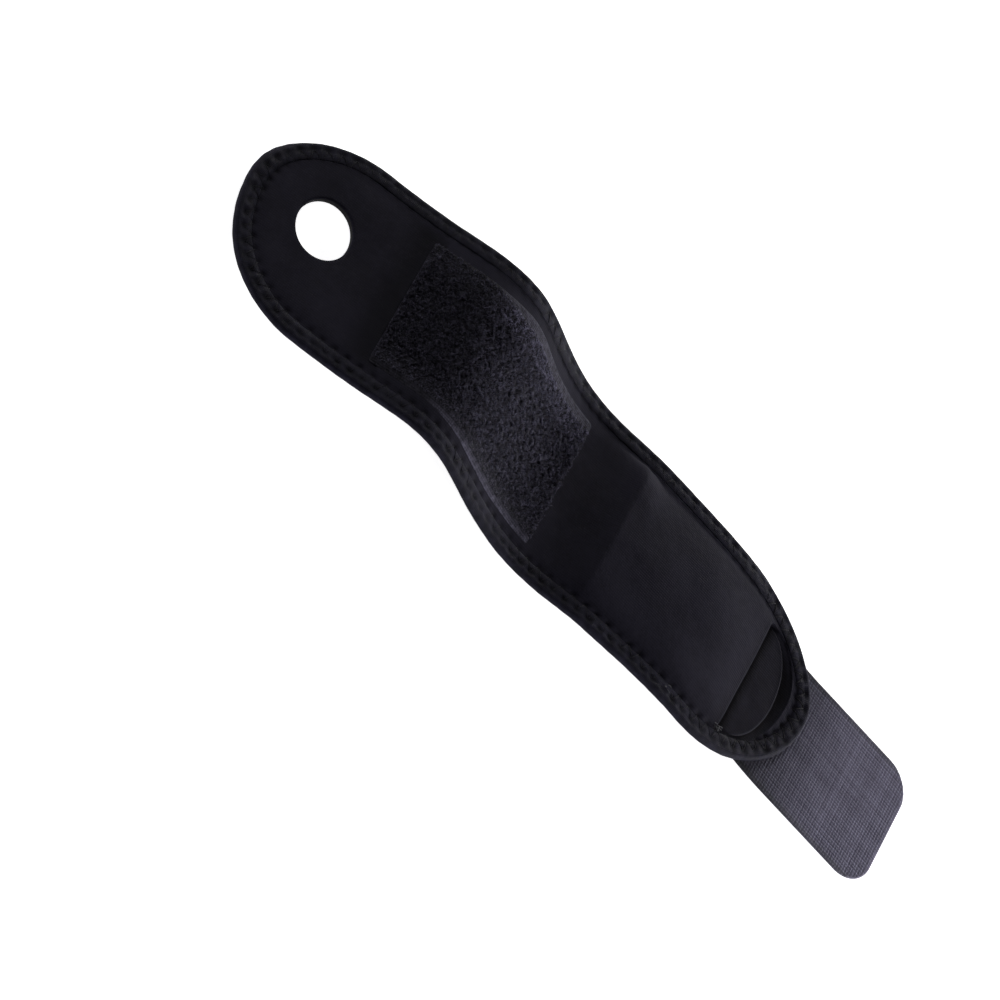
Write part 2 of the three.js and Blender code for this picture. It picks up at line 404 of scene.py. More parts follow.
class Nodes:
    def __init__(self, name):
        self.material = bpy.data.materials.new(name)
        self.material.use_nodes = True
        self.tree = self.material.node_tree
        self.shader = self.tree.nodes["Principled BSDF"]
        self.uv = self.add("ShaderNodeUVMap", uv_map="flat").outputs["UV"]
        self.place = self.add("ShaderNodeTexCoord").outputs["Object"]

    # Inputs set to values or linked to the outputs of other nodes
    def feed(self, node, inputs):
        for socket, value in inputs.items():
            if isinstance(value, bpy.types.NodeSocket):
                self.tree.links.new(value, node.inputs[socket])
            else:
                node.inputs[socket].default_value = value

    def add(self, kind, inputs=None, **settings):
        node = self.tree.nodes.new(kind)
        for key, value in settings.items():
            setattr(node, key, value)
        self.feed(node, inputs or {})
        return node

    def math(self, operation, *values):
        return self.add("ShaderNodeMath", dict(enumerate(values)), operation=operation).outputs[0]

    def noise(self, scale, detail=3.0, vector=None):
        inputs = {"Vector": vector or self.place, "Scale": scale, "Detail": detail}
        inputs["Roughness"] = NOISE_ROUGHNESS
        return self.add("ShaderNodeTexNoise", inputs).outputs["Fac"]

    # The flat pattern in millimetres
    def flat(self):
        split = self.add("ShaderNodeSeparateXYZ", {0: self.uv})
        return [self.math("MULTIPLY", split.outputs[k], UV_SPAN) for k in (0, 1)]

    def ramp(self, factor, stops):
        node = self.add("ShaderNodeValToRGB", {"Fac": factor})
        elements = node.color_ramp.elements
        while len(elements) < len(stops):
            elements.new(0.5)
        for element, (position, colour) in zip(elements, stops):
            element.position = position
            element.color = (*colour, 1)
        return node.outputs["Color"]

    def mix(self, factor, first, second, blend="MIX"):
        node = self.add("ShaderNodeMix", {"Factor": factor, 6: first, 7: second},
                        data_type="RGBA", blend_type=blend, clamp_factor=True)
        return node.outputs[2]

    # Ramp of one colour, at the given shares of its brightness
    def shades(self, factor, colour, stops):
        return self.ramp(factor, [(position, shade(colour, share)) for position, share in stops])

    def darken(self, colours, share):
        return self.mix(share, colours, (0, 0, 0, 1), "MULTIPLY")

    # Colours darkened by the mesh's dent values: mostly painted shade at needle dents, grooves, creases and
    # other shaded places, besides plain darker tones
    def tone_and_painted_shade(self, colours, depth):
        dent = self.add("ShaderNodeAttribute", attribute_name="dent").outputs["Fac"]
        return self.darken(colours, self.math("MULTIPLY", dent, depth))

    def span(self, factor, low, high):
        inputs = {"Value": factor, "To Min": low, "To Max": high}
        return self.add("ShaderNodeMapRange", inputs).outputs["Result"]

    def bump(self, heights):
        under = {}
        for height, distance in heights:
            inputs = {"Strength": 1.0, "Distance": distance * MM, "Height": height, **under}
            under = {"Normal": self.add("ShaderNodeBump", inputs).outputs["Normal"]}
        self.feed(self.shader, under)

    def finish(self, colour, roughness, specular):
        self.feed(self.shader, {
            "Base Color": colour, "Roughness": roughness, "Specular IOR Level": specular})
        return self.material


def shade(colour, factor):
    return tuple(channel * factor for channel in colour)


# Knitted rows of small V-shaped loops, as a height
def knit_height(nodes, wale, course):
    along, across = nodes.flat()
    column = nodes.math("FRACT", nodes.math("DIVIDE", across, wale))
    lean = nodes.math("ABSOLUTE", nodes.math("SUBTRACT", column, 0.5))
    row = nodes.math("ADD", nodes.math("DIVIDE", along, course), lean)
    loops = nodes.math("SINE", nodes.math("MULTIPLY", row, 2 * math.pi))
    rib = nodes.math("SINE", nodes.math("MULTIPLY", column, math.pi))
    return nodes.math("MULTIPLY", nodes.math("MULTIPLY_ADD", loops, 0.35, 0.65), rib)


# Smooth jersey face, a little cloudy, with lint
def jersey(name, colour):
    nodes = Nodes(name)
    knit = knit_height(nodes, wale=0.85, course=0.7)
    cloud = nodes.math("MULTIPLY", nodes.noise(280, 2), 0.3)
    broad = nodes.math("MULTIPLY_ADD", nodes.noise(45, 2), 0.7, cloud)
    lint = nodes.noise(900, 2)
    tone = nodes.math("MULTIPLY_ADD", knit, 0.2, nodes.math("MULTIPLY_ADD", lint, 0.45, broad))
    colours = nodes.shades(tone, colour, [(0.45, 0.72), (0.75, 1), (11 / 12, 1.35)])
    nodes.bump([(nodes.noise(140, 2), 0.25), (knit, 0.05), (lint, 0.06)])
    return nodes.finish(nodes.tone_and_painted_shade(colours, 0.55), nodes.span(lint, 0.62, 0.85), specular=0.04)


def foam(name, colour):
    nodes = Nodes(name)
    cells = nodes.add("ShaderNodeTexVoronoi", {"Vector": nodes.place, "Scale": 3200})
    pores = cells.outputs["Distance"]
    colours = nodes.shades(pores, colour, [(0.1, 1.5), (0.7, 0.6)])
    nodes.bump([(pores, 0.12), (nodes.noise(700, 3), 0.1)])
    return nodes.finish(colours, nodes.span(pores, 0.8, 0.95), specular=0.2)


# Stretch binding tape: a fine knit, blotchy with lint
def binding_cloth(name, colour):
    nodes = Nodes(name)
    fine = nodes.noise(1500, 2)
    knit = knit_height(nodes, wale=0.6, course=0.55)
    blotch = nodes.math("MULTIPLY", nodes.noise(420, 3), 0.9)
    tone = nodes.math("MULTIPLY_ADD", knit, 0.3, nodes.math("MULTIPLY_ADD", fine, 0.3, blotch))
    colours = nodes.shades(tone, colour, [(0.55, 0.6), (0.73, 1), (0.91, 1.5)])
    nodes.bump([(nodes.noise(260, 2), 0.2), (knit, 0.07), (fine, 0.04)])
    return nodes.finish(nodes.tone_and_painted_shade(colours, 0.55), nodes.span(fine, 0.5, 0.75), specular=0.05)


def thread_yarn(name, colour):
    nodes = Nodes(name)
    strands = {"Vector": nodes.place, "Scale": 700, "Distortion": 1.5}
    wave = nodes.add("ShaderNodeTexWave", strands, wave_type="BANDS", bands_direction="DIAGONAL")
    twist = wave.outputs["Fac"]
    colours = nodes.shades(twist, colour, [(0.2, 0.7), (0.8, 1.3)])
    nodes.bump([(twist, 0.05)])
    return nodes.finish(colours, nodes.span(nodes.noise(900), 0.5, 0.75), specular=0.1)


def fibre(name, colour):
    nodes = Nodes(name)
    colours = nodes.shades(nodes.noise(620, 2), colour, [(0.36, 0.45), (0.52, 1), (0.68, 1.8)])
    return nodes.finish(nodes.tone_and_painted_shade(colours, 1.0), nodes.span(nodes.noise(2400), 0.5, 0.8), specular=0.15)


def pile_base(name, colour):
    nodes = Nodes(name)
    knit = knit_height(nodes, wale=0.8, course=0.8)
    tufts = nodes.noise(620, 3)
    tone = nodes.math("MULTIPLY_ADD", knit, 0.25, tufts)
    colours = nodes.shades(tone, colour, [(0.42, 0.45), (0.6, 1), (0.82, 1.6)])
    nodes.bump([(knit, 0.1), (tufts, 0.35)])
    return nodes.finish(nodes.tone_and_painted_shade(colours, 1.0), nodes.span(nodes.noise(1500), 0.7, 0.9), specular=0.08)


# Woven tape: painted shade in the gaps between the yarns, greyer along both long edges, and painted shade
# towards its root
WEAVE = {"along": 1.1, "across": 1.1, "height": 0.16}
YARN_TWIST = 0.28
YARN_RUNS = ((0.06, 1.3), (1.3, 0.06))
TAPE_TONES = [(0.35, 0.5), (0.65, 1), (0.9, 1.35)]
TAPE_RIM = {"width": 2.4, "steepness": 1.2}
ROOT_SHADE = {"end": 276.0, "length": 20.0, "depth": 0.5}


def woven_tape(name, colour, edge_colour):
    nodes = Nodes(name)
    along, across = nodes.flat()
    fibres = nodes.noise(1800, 3)
    diagonal = nodes.math("ADD", along, across)
    twist = nodes.math("SINE", nodes.math("MULTIPLY", diagonal, 2 * math.pi / YARN_TWIST))
    ridges = []
    broad = nodes.math("MULTIPLY", nodes.noise(160, 3), 0.25)
    for place, pitch in ((along, WEAVE["along"]), (across, WEAVE["across"])):
        count = nodes.math("DIVIDE", place, pitch)
        ridges.append(nodes.math("SINE", nodes.math("MULTIPLY", nodes.math("FRACT", count), math.pi)))
        number = {"W": nodes.math("FLOOR", count)}
        yarn = nodes.add("ShaderNodeTexWhiteNoise", number, noise_dimensions="1D")
        broad = nodes.math("MULTIPLY_ADD", yarn.outputs["Value"], 0.13, broad)
    relief = nodes.math("MULTIPLY", *ridges)
    for along_share, across_share in YARN_RUNS:
        run = nodes.add("ShaderNodeCombineXYZ", {
            0: nodes.math("MULTIPLY", along, along_share), 1: nodes.math("MULTIPLY", across, across_share)})
        broad = nodes.math("MULTIPLY_ADD", nodes.noise(1.0, 2, run.outputs[0]), 0.12, broad)
    # Painted shade: the tone is lower where the weave's relief dips between the yarns
    tone = nodes.math("MULTIPLY_ADD", relief, 0.3, nodes.math("MULTIPLY_ADD", fibres, 0.3, broad))
    middle = nodes.shades(tone, colour, TAPE_TONES)
    rim = nodes.shades(tone, edge_colour, TAPE_TONES)
    out = nodes.math("SUBTRACT", nodes.math("ABSOLUTE", across), TAB["width"] / 2 - TAPE_RIM["width"])
    mixed = nodes.mix(nodes.math("MULTIPLY", out, TAPE_RIM["steepness"]), middle, rim)
    # Painted shade towards the root, by the body's end
    short = nodes.math("SUBTRACT", ROOT_SHADE["end"], along)
    root = nodes.math("MAXIMUM", nodes.math("MULTIPLY", short, 1 / ROOT_SHADE["length"]), 0)
    colours = nodes.darken(mixed, nodes.math("MULTIPLY", root, ROOT_SHADE["depth"]))
    nodes.bump([(fibres, 0.08), (twist, 0.02)])
    return nodes.finish(colours, nodes.span(fibres, 0.6, 0.9), specular=0.12)


JERSEY = (0.0102, 0.0094, 0.0155)
materials = {
    "jersey": jersey("jersey", JERSEY),
    # The pad's jersey is the body's at three quarters of its brightness: painted shade for the sunken end
    "pad": jersey("pad_jersey", shade(JERSEY, 0.75)),
    "foam": foam("foam", (0.008, 0.008, 0.009)),
    "binding": binding_cloth("binding_tape", (0.0100, 0.0093, 0.0168)),
    "thread": thread_yarn("thread", (0.0080, 0.0075, 0.0120)),
    "pile": fibre("pile", (0.087, 0.082, 0.128)),
    "pile_base": pile_base("pile_base", (0.0145, 0.0135, 0.0205)),
    # The selvedge's colour is lighter than the backing's: a painted sheen of its flat weave
    "selvedge": pile_base("selvedge", (0.055, 0.052, 0.075)),
    "tape": woven_tape("hook_tape", (0.161, 0.152, 0.213), (0.130, 0.126, 0.162)),
    "hooks": fibre("hooks", (0.09, 0.086, 0.11)),
    "tuft": thread_yarn("tuft", (0.06, 0.06, 0.068)),
}

# Binding: the stitch count sets the stations round the strap
EDGE_STEP = 0.25
HOLE_ROUNDING = 0.35
edge = Loop(strap_outline(), step=EDGE_STEP)
stitches = int(round(Loop(edge.inset(MIDDLE_INSET), step=EDGE_STEP).length / STITCH_PITCH))
binding = Loop(edge.inset(MIDDLE_INSET), count=stitches * STATIONS_PER_STITCH)
pitch = binding.length / stitches
recess = Loop(end_outline(CROSS_SEAM, RECESS["end"], RECESS["width"], ROUND_END_TIP), step=0.4)
hole = Loop(Loop(ellipse(**HOLE), step=0.5).inset(HOLE_ROUNDING), step=0.5)

# How hard each stitch of the two needle rows pulls the cloth, the inner row less on the far side
PULL = (0.6, 1.15)
FAR_PULL = {"beyond": 12, "share": 0.4}
OUTER_ROW = {"inset": OUTER_NEEDLE, "offset": 0.0, "pull": rng.uniform(*PULL, stitches)}
INNER_ROW = {"inset": INNER_NEEDLE, "offset": 0.5, "pull": rng.uniform(*PULL, stitches)}
on_far_side = binding.points[STATIONS_PER_STITCH // 2::STATIONS_PER_STITCH, 1] > FAR_PULL["beyond"]
INNER_ROW["pull"] *= np.where(on_far_side, FAR_PULL["share"], 1.0)


def stitch_marks(row, place, width):
    turns = place / pitch - row["offset"]
    nearest = np.round(turns).astype(int)
    return row["pull"][nearest % stitches] * bell((turns - nearest) * pitch, width)


def needle_dent(row, size, inset, place):
    return stitch_marks(row, place, size["along"]) * bell(inset - row["inset"], size["across"])


# Binding's height over its inset, with the dents of both needle rows
TOP_PROFILE = np.array([
    (1.5, 1.5), (2.1, 1.55), (2.7, 1.52), (3.8, 1.58), (4.9, 1.5), (5.6, 1.32), (6.0, 1.08)])
UNDER_PROFILE = np.array([
    (1.5, 1.5), (2.1, 1.42), (2.7, 1.34), (3.8, 1.36), (4.9, 1.34), (5.6, 1.28), (6.0, 1.15)])
OUTER_DENT = {"along": 1.05, "across": 0.85, "depth": 0.42}
INNER_DENT = {"along": 0.9, "across": 0.9, "depth": 0.12}
FOLD_DENT = {"along": 0.9, "depth": 0.1}


def binding_height(profile, inset, place):
    height = np.interp(inset, *profile.T)
    height = height - OUTER_DENT["depth"] * needle_dent(OUTER_ROW, OUTER_DENT, inset, place)
    return height - INNER_DENT["depth"] * needle_dent(INNER_ROW, INNER_DENT, inset, place)


# Grooves under the zigzag legs, which show at the round ends
LEG_GROOVE = {"across": 0.45, "depth": 0.15, "start": (2.9, 3.5), "end": (5.7, 6.1)}
TAB_ARC = (222, 236)
THUMB_ARC = {"reach": (45, 25), "share": 0.4}


def leg_marks(inset, place):
    lean = 0.5 * np.clip((inset - OUTER_NEEDLE) / (INNER_NEEDLE - OUTER_NEEDLE), 0, 1)
    turns = place / pitch
    legs = [np.abs(turns - shift - np.round(turns - shift)) for shift in (lean, -lean)]
    on_tape = smoothstep(*LEG_GROOVE["start"], inset) * (1 - smoothstep(*LEG_GROOVE["end"], inset))
    return bell(np.minimum(*legs) * pitch, LEG_GROOVE["across"]) * on_tape


def at_round_ends(along):
    return smoothstep(*TAB_ARC, along) + THUMB_ARC["share"] * smoothstep(*THUMB_ARC["reach"], along)


# Far side, where the binding lies flatter on the wall, apart from the falling stretch
FAR_FLANK = (8, 20)
FALL = {"start": (104, 114), "end": (145, 160)}
FLANK_LIFT = 0.12


def settled(along, across):
    falling = smoothstep(*FALL["start"], along) * (1 - smoothstep(*FALL["end"], along))
    return smoothstep(*FAR_FLANK, across) * (1 - falling)


# Rings of the binding's section: under it, round the fold, over it and back along its lining
UNDER_INSETS = (6.0, 5.85, 5.4, 4.8, 4.2, 3.6, 3.1, 2.7, 2.3, 1.9)
FOLD_RINGS = {"half_turn": 78, "count": 9}
OVER_INSETS = (1.8, 2.1, 2.4, 2.7, 3.0, 3.4, 3.9, 4.5, 5.0, 5.4, 5.7, 5.9, 6.0)
LINING = (
    (5.9, 0.85), (4.6, 1.02), (1.9, 0.98), (0.6, 0.45),
    (0.6, -0.45), (1.9, -0.98), (4.6, -1.02), (5.9, -0.85))
LIFTED_INSETS = (4.9, 6.0)
PUFF = {"share": 0.05, "wavelength": 14, "most_at_fold": 1.06}
RING_SPACING = 0.6


def make_binding():
    place = np.arange(binding.count) * binding.step
    puff = 1 + PUFF["share"] * ripple(place, 0 * place, PUFF["wavelength"])
    round_end = at_round_ends(binding.points[:, 0])
    lift = FLANK_LIFT * settled(*binding.points.T)

    def level(value):
        return np.full(binding.count, value)

    rows = []
    for inset in UNDER_INSETS:
        rows.append((level(inset), -binding_height(UNDER_PROFILE, inset, place)))
    half_turn = FOLD_RINGS["half_turn"]
    for angle in np.radians(np.linspace(-half_turn, half_turn, FOLD_RINGS["count"])):
        dent = FOLD_DENT["depth"] * stitch_marks(OUTER_ROW, place, FOLD_DENT["along"]) * math.cos(angle)
        reach = (BINDING_TOP - dent) * math.cos(angle) * np.minimum(puff, PUFF["most_at_fold"])
        rows.append((BINDING_TOP - reach, level(BINDING_TOP * math.sin(angle))))
    for inset in OVER_INSETS:
        height = binding_height(TOP_PROFILE, inset, place) * puff + lift * smoothstep(*LIFTED_INSETS, inset)
        rows.append((level(inset), height - LEG_GROOVE["depth"] * round_end * leg_marks(inset, place)))
    for inset, height in LINING:
        rows.append((level(inset), level(height)))
    inset, height = (np.stack([row[k] for row in rows], 1) for k in (0, 1))
    flat = binding.points[:, None, :] + (inset - MIDDLE_INSET)[:, :, None] * binding.inward[:, None, :]
    points = raised(flat, height)
    ids = np.arange(inset.size).reshape(inset.shape)
    onward, beside = np.roll(ids, -1, 0), np.roll(ids, -1, 1)
    quads = np.stack([ids, beside, np.roll(onward, -1, 1), onward], -1).reshape(-1, 4)[:, ::-1]
    ring_places = np.arange(inset.shape[1]) * RING_SPACING
    pattern = np.stack(np.meshgrid(place, ring_places, indexing="ij"), -1)
    # Painted shade in the binding's colour at the outer needle dents and, at the round ends, in the grooves
    # under the zigzag legs
    dent = needle_dent(OUTER_ROW, OUTER_DENT, inset, place[:, None])
    dent = (dent + round_end[:, None] * leg_marks(inset, place[:, None])) * (height > 0)
    return mesh_object("binding_skin", bend(points.reshape(-1, 3)), [quads], pattern.reshape(-1, 2),
                       [materials["binding"]], sharp=70, dent=dent.ravel())


# Zigzag threads on both faces: outer needle, inner needle, next outer needle
THREAD_OVER = np.array([
    (2.7, 0.75), (3.0, 1.1), (3.5, 1.42), (4.8, 1.42), (5.5, 1.26), (6.0, 1.04), (6.4, 0.8), (6.8, 0.3)])
THREAD = {"radius": 0.14, "sides": 5, "deepest_under": 1.34, "drops_from": 5.7, "past_rim": 0.1}


def make_threads():
    stitch = np.arange(stitches)
    outer_turns = np.concatenate([stitch, stitch])
    inner_turns = np.concatenate([stitch + 0.5, stitch - 0.5])
    thread_inset, thread_height = THREAD_OVER.T
    share = (thread_inset - OUTER_NEEDLE) / (INNER_NEEDLE - OUTER_NEEDLE)
    turns = outer_turns[:, None] + (inner_turns - outer_turns)[:, None] * share
    station = np.mod(turns * STATIONS_PER_STITCH, binding.count)
    low = np.floor(station).astype(int) % binding.count
    high = (low + 1) % binding.count
    part = (station - np.floor(station))[:, :, None]
    middle = binding.points[low] * (1 - part) + binding.points[high] * part
    inward = binding.inward[low] * (1 - part) + binding.inward[high] * part
    flat = middle + (thread_inset - MIDDLE_INSET)[None, :, None] * inward
    in_recess = recess.measure(flat[:, -1])[0] > -THREAD["past_rim"]
    deepest = RECESS_FLOOR - thread_height[-1]
    drop = np.interp(thread_inset, [THREAD["drops_from"], INNER_NEEDLE], [0, deepest])
    run = flat[:, -1] - flat[:, 0]
    across = square_to(run / np.linalg.norm(run, axis=1)[:, None])
    top = raised(flat, thread_height + in_recess[:, None] * drop)
    under = raised(flat, -np.minimum(thread_height, THREAD["deepest_under"]))
    return tubes("binding_thread", np.concatenate([top, under]), np.concatenate([across, across]),
                 THREAD["radius"], THREAD["sides"], materials["thread"])


# Body: one neoprene slab with pinched edges, a thumb hole, a domed panel and a sunken end
HOLE_RADIUS = 0.7
WALL_PROFILE = np.array([
    (1.5, 0.7), (5.6, 0.75), (6.1, 0.98), (6.9, 1.05),
    (7.9, 1.16), (9.1, 1.27), (10.5, 1.35), (12.5, 1.4)])
WALL_DENT = {"along": 0.85, "across": 0.65, "depth": 0.35}
FLANK = {"start": (5.9, 6.2), "end": (6.2, 9.0)}
UNEVEN = {"inset": (8, 14), "top": 0.12, "top_wave": 34, "under": 0.06, "under_wave": 40}

# Crown of the panel: its rise along the strap, and how it falls off to both sides
CROWN_RISE = np.array([
    (143, 0), (150, 0.2), (155, 0.7), (159, 1.5), (161.5, 2.2), (163, 2.85), (164, 3.25), (164.8, 3.33),
    (167, 3.1), (169, 2.93), (171, 2.81), (173, 2.74), (180, 2.66), (196, 2.55), (205, 2.45), (212, 2.25),
    (218, 1.95), (222, 1.62), (225, 1.2), (227.4, 0.7), (230.5, 0)])
CROWN = {
    "near": 28.5, "far": 30.0, "far_drawn_in": 3.0, "tilt": 0.4, "flat_before": 163.0, "round_after": 175.0,
    "far_power": 8, "far_power_lost": 5.5, "near_power": 6, "clear_of_edge": (5.8, 8.5),
}

# Crease before the patch, hem at the cross seam and hollow beyond it, with their painted shades in the
# jersey's colour
CREASE = {"along": (48.0, 58.5), "across": (32, 26), "under_patch": 4, "depth": 0.25}
HEM = {"height": 0.1, "back": 0.7, "width": 0.4, "across": (26, 22)}
HEM_SHADE = {"along": (221.0, 227.4), "across": (28, 24), "share": 0.4}
HOLLOW_STEP = (0.02, 0.33)
HOLLOW_START = (CROSS_SEAM + 1, CROSS_SEAM + 5)
HOLLOW_SHADE = {"rim": 0.6, "floor": 0.8, "inset": (0.5, 3.5)}

# Height of the hollow's floor over the inset from its rim
HOLLOW = np.array([(0.3, 0.75), (1.6, 0.55), (3.2, 0.2), (5.0, -0.1)])

# Mesh lines of the body: insets from the edge, the hole and the hollow's rim, and lines across the strap
STITCH_INSETS = (5.9, 6.2, 6.5, 6.8, 7.1, 7.5, 8.0)
EDGE_RINGS = ((3.0, 1.5), (4.6, 1.2), (5.5, 0.8), (8.7, 0.8), (9.6, 1.1), (11.0, 1.4))
HOLE_RINGS = (0.08, 0.22, 0.42, 0.7, 1.3, 2.2)
HOLLOW_RINGS = (
    (-0.5, 0.5), (0.8, 0.6), (1.3, 0.6), (1.8, 0.6), (2.3, 0.6),
    (2.8, 0.6), (3.4, 0.6), (4.1, 0.7), (4.9, 0.8))
SEAM_LINES = {"back": (0.35, 0.65, 1.0, 1.5, 2.2), "half": 23, "count": 90}
CREST_LINES = {"along": (160, 171, 0.8), "half": 30, "count": 70}
FLOOR_INSET = 0.35
RING_CELL = 0.16
RING_CLEARANCE = 0.28
BODY_GRID = 1.7
GRID_CLEARANCE = 1.0


def cross_line(station, half, count):
    return np.column_stack([np.full(count, station), np.linspace(-half, half, count)])


def body_pattern():
    outer = Loop(edge.inset(BINDING_TOP), step=1.2).points
    floor_loop = Loop(recess.inset(FLOOR_INSET), step=0.4).points
    fixed = [outer, hole.points, recess.points, floor_loop]
    rings = [binding.inset(inset - MIDDLE_INSET) for inset in STITCH_INSETS]
    rings += [Loop(edge.inset(inset), step=step).points for inset, step in EDGE_RINGS]
    rings += [hole.inset(-distance) for distance in HOLE_RINGS]
    rings += [Loop(recess.inset(inset), step=step).points for inset, step in HOLLOW_RINGS]
    for back in SEAM_LINES["back"]:
        rings.append(cross_line(CROSS_SEAM - back, SEAM_LINES["half"], SEAM_LINES["count"]))
    for station in np.arange(*CREST_LINES["along"]):
        rings.append(cross_line(station, CREST_LINES["half"], CREST_LINES["count"]))
    rings = np.vstack(rings)
    rings = rings[np.unique(np.round(rings / RING_CELL).astype(int), axis=0, return_index=True)[1]]
    rings = clear_of(rings, np.vstack([recess.points, floor_loop]), RING_CLEARANCE)
    grid = grid_points((0, BODY_LENGTH), (-STRAP_WIDTH / 2, STRAP_WIDTH / 2), BODY_GRID)
    grid = clear_of(grid, np.vstack([*fixed, rings]), GRID_CLEARANCE)

    def keep(points):
        return (edge.measure(points)[0] > BINDING_TOP) & (hole.measure(points)[0] < 0)

    return triangulate(fixed, np.vstack([rings, grid]), keep)


def crown_height(along, across, inset):
    rise = np.interp(along, *CROWN_RISE.T) * smoothstep(*CROWN["clear_of_edge"], inset)
    past_crest = smoothstep(CROWN["flat_before"], CROWN["round_after"], along)
    far_share = np.clip(across / (CROWN["far"] - CROWN["far_drawn_in"] * past_crest), 0, 1)
    near_share = np.clip(-across / CROWN["near"], 0, 1)
    far_power = CROWN["far_power"] - CROWN["far_power_lost"] * past_crest
    return rise * (1 - far_share ** far_power - CROWN["tilt"] * near_share
                   - (1 - CROWN["tilt"]) * near_share ** CROWN["near_power"])


def make_body():
    flat, triangles = body_pattern()
    along, across = flat.T
    aside = np.abs(across)
    inset = edge.measure(flat)[0]
    place = binding.measure(flat)[1]
    flank = smoothstep(*FLANK["start"], inset) * (1 - smoothstep(*FLANK["end"], inset))
    wall = np.interp(inset, *WALL_PROFILE.T) + FLANK_LIFT * settled(along, across) * flank
    dent = needle_dent(INNER_ROW, WALL_DENT, inset, place)
    round_off = np.clip(1 + hole.measure(flat)[0] / HOLE_RADIUS, 0, 1)
    rim = HOLE_RADIUS * (1 - np.sqrt(1 - round_off ** 2))
    edge_wall = wall - WALL_DENT["depth"] * dent - rim
    uneven = smoothstep(*UNEVEN["inset"], inset)
    hem_middle = CROSS_SEAM - HEM["back"]
    hem = HEM["height"] * bell(along - hem_middle, HEM["width"]) * smoothstep(*HEM["across"], aside)
    top = edge_wall + uneven * UNEVEN["top"] * ripple(along, across, UNEVEN["top_wave"])
    top = top + crown_height(along, across, inset) + hem
    recess_inset = recess.measure(flat)[0]
    sunken = smoothstep(*HOLLOW_STEP, recess_inset)
    hollow = np.interp(recess_inset, *HOLLOW.T) * smoothstep(*HOLLOW_START, along)
    top = top + sunken * (RECESS_FLOOR + hollow - top)
    bottom = -(edge_wall + uneven * UNEVEN["under"] * ripple(along, across, UNEVEN["under_wave"]))
    # The crease dips the top; it, the last stretch before the hem, the hollow and the inner needle dents also
    # darken the jersey's colour as painted shade; the underside keeps only the dents' painted shade
    crease = smoothstep(*CREASE["along"], along) * smoothstep(*CREASE["across"], aside)
    crease *= along < PATCH["start"] + CREASE["under_patch"]
    hem_shade = smoothstep(*HEM_SHADE["along"], along) * smoothstep(*HEM_SHADE["across"], aside)
    hem_shade *= HEM_SHADE["share"] * (along <= CROSS_SEAM)
    hollow_shade = smoothstep(*HOLLOW_SHADE["inset"], recess_inset)
    hollow_shade = sunken * (HOLLOW_SHADE["rim"] + HOLLOW_SHADE["floor"] * hollow_shade)
    shaded = np.maximum.reduce([dent, crease, hem_shade, hollow_shade])
    return slab("body_skin", flat, triangles, top - CREASE["depth"] * crease, bottom,
                [materials["jersey"], materials["foam"]], dent=shaded,
                face_material=[0, 0, 1], under_dent=dent)


# Loop patch: a knitted backing with bare selvedges and a pile of small loops, sewn a little out of true
SELVEDGE = {"near": 2.4, "far": 4.0}
WAVER = {
    "near": {"shift": 0.8, "along": 111.0, "reach": 13.0, "bulge": -1.7},
    "far": {"shift": -0.2, "along": 103.0, "reach": 7.0, "bulge": 1.5},
}

# Backing's height over the distance from its near edge, its far edge and its cut ends
NEAR_EDGE = np.array([(0, -0.08), (0.25, 0.02), (0.6, 0.12), (1.3, 0.3), (2.4, 0.55), (3.4, 0.75)])
FAR_EDGE = np.array([(0, -0.75), (0.25, -0.5), (0.6, -0.35), (1.3, -0.22), (4, -0.1), (10, 0)])
CUT_END = np.array([(0, -0.45), (0.6, -0.3), (1.3, -0.1), (2.2, 0)])
BACKING = {"corner": 1.0, "sunk": 0.3, "lowest": 0.1, "rings": (0.25, 0.6, 1.3, 2.2, 3.2)}

# Darkening of the selvedges: towards the near one's inner side, all over the far one, and painted shade
# before the fold on both
SELVEDGE_SHADE = {"near": 0.66, "far": 0.5, "near_fold": 0.72, "far_fold": 0.84}
FOLD_SPAN = (80, 98)
NEAR_FOLD_END = 91


# Place of a point of the straight patch once it is sewn on
def sew(along, across):
    moved = {}
    for side, row in WAVER.items():
        moved[side] = row["shift"] + row["bulge"] * bell(along - row["along"], row["reach"])
    share = np.clip(across / PATCH["width"] + 0.5, 0, 1)
    return PATCH["across"] + across + moved["near"] * (1 - share) + moved["far"] * share


# Share of the strap before the fold, on the rise, going to none across the fold; there the pile and selvedges
# carry painted shade
def before_fold(along, end=FOLD_SPAN[1]):
    return 1 - smoothstep(FOLD_SPAN[0], end, along)


